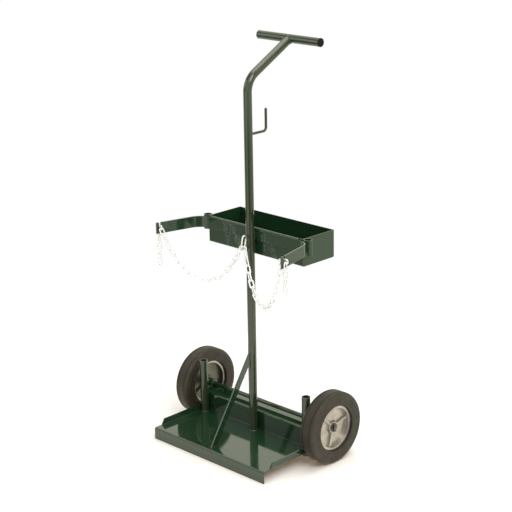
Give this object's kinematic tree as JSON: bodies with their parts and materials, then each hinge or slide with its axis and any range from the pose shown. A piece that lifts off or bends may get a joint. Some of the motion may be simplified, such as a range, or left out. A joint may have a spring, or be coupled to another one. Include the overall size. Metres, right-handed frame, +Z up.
{
  "type": "gas cylinder trolley",
  "caption": "Upright trolley for gas cylinders: folded platform on wheels, post with T-handle, retaining bar with chains, tool tray and welding rod holders.",
  "frame": {"origin": "middle of the part's box, on the floor", "axes": "+Z up, -Y the front with the open edge of the platform, +X to the right along the axle"},
  "size_m": [0.5486, 0.359, 1.141],
  "materials": {
    "paint": "gloss dark green enamel",
    "zinc": "bright zinc plate",
    "steel": "plain",
    "tyre": "matt",
    "wheel_metal": "as cast",
    "bronze": "sintered",
    "plug": "matt"
  },
  "bodies": {
    "frame": {"base_plate": "paint", "axle_angle": "paint", "axle": "steel", "post_tube": "paint", "handle_tube": "paint", "handle_plug_left": "plug", "handle_plug_right": "plug", "brace_bar": "paint", "hose_hook": "paint", "tool_tray": "paint", "retaining_bar": "paint", "rod_tube_left": "paint", "rod_tube_right": "paint", "rod_guide_left": "paint", "rod_guide_right": "paint", "chain_anchor_eye": "paint", "anchor_link": "zinc", "chain_middle_link": "zinc", "slot_link_left": "zinc", "slot_link_right": "zinc", "axle_collar_left": "paint", "axle_collar_right": "paint", "washer_left": "steel", "washer_right": "steel", "cotter_pin_left": "steel", "cotter_pin_right": "steel"},
    "left_wheel": {"tyre_left": "tyre", "wheel_centre_left": "wheel_metal", "hub_bush_left": "bronze"},
    "right_wheel": {"tyre_right": "tyre", "wheel_centre_right": "wheel_metal", "hub_bush_right": "bronze"},
    "left_chain": {"chain_left": "zinc"},
    "right_chain": {"chain_right": "zinc"},
    "left_tail": {"chain_tail_left": "zinc"},
    "right_tail": {"chain_tail_right": "zinc"}
  },
  "joints": [
    {"name": "left_wheel_roll", "type": "hinge", "parent": "frame", "child": "left_wheel", "pos_m": [-0.2495, 0.0535, 0.1016], "axis": [1, 0, 0], "continuous": true},
    {"name": "right_wheel_roll", "type": "hinge", "parent": "frame", "child": "right_wheel", "pos_m": [0.2495, 0.0535, 0.1016], "axis": [1, 0, 0], "continuous": true},
    {"name": "left_chain_swing", "type": "hinge", "parent": "frame", "child": "left_chain", "pos_m": [-0.00828, -0.02592, 0.57596], "axis": [-0.9175, -0.3715, 0.142], "range_deg": [-10, 20]},
    {"name": "right_chain_swing", "type": "hinge", "parent": "frame", "child": "right_chain", "pos_m": [0.00802, -0.02594, 0.57586], "axis": [0.9179, -0.3706, 0.1419], "range_deg": [-20, 10]},
    {"name": "left_tail_swing", "type": "hinge", "parent": "frame", "child": "left_tail", "pos_m": [-0.24355, -0.11288, 0.6076], "axis": [-0.9703, 0.2419, 0], "range_deg": [-28, 28]},
    {"name": "right_tail_swing", "type": "hinge", "parent": "frame", "child": "right_tail", "pos_m": [0.24355, -0.11288, 0.6076], "axis": [0.9703, 0.2419, 0], "range_deg": [-28, 28]}
  ]
}
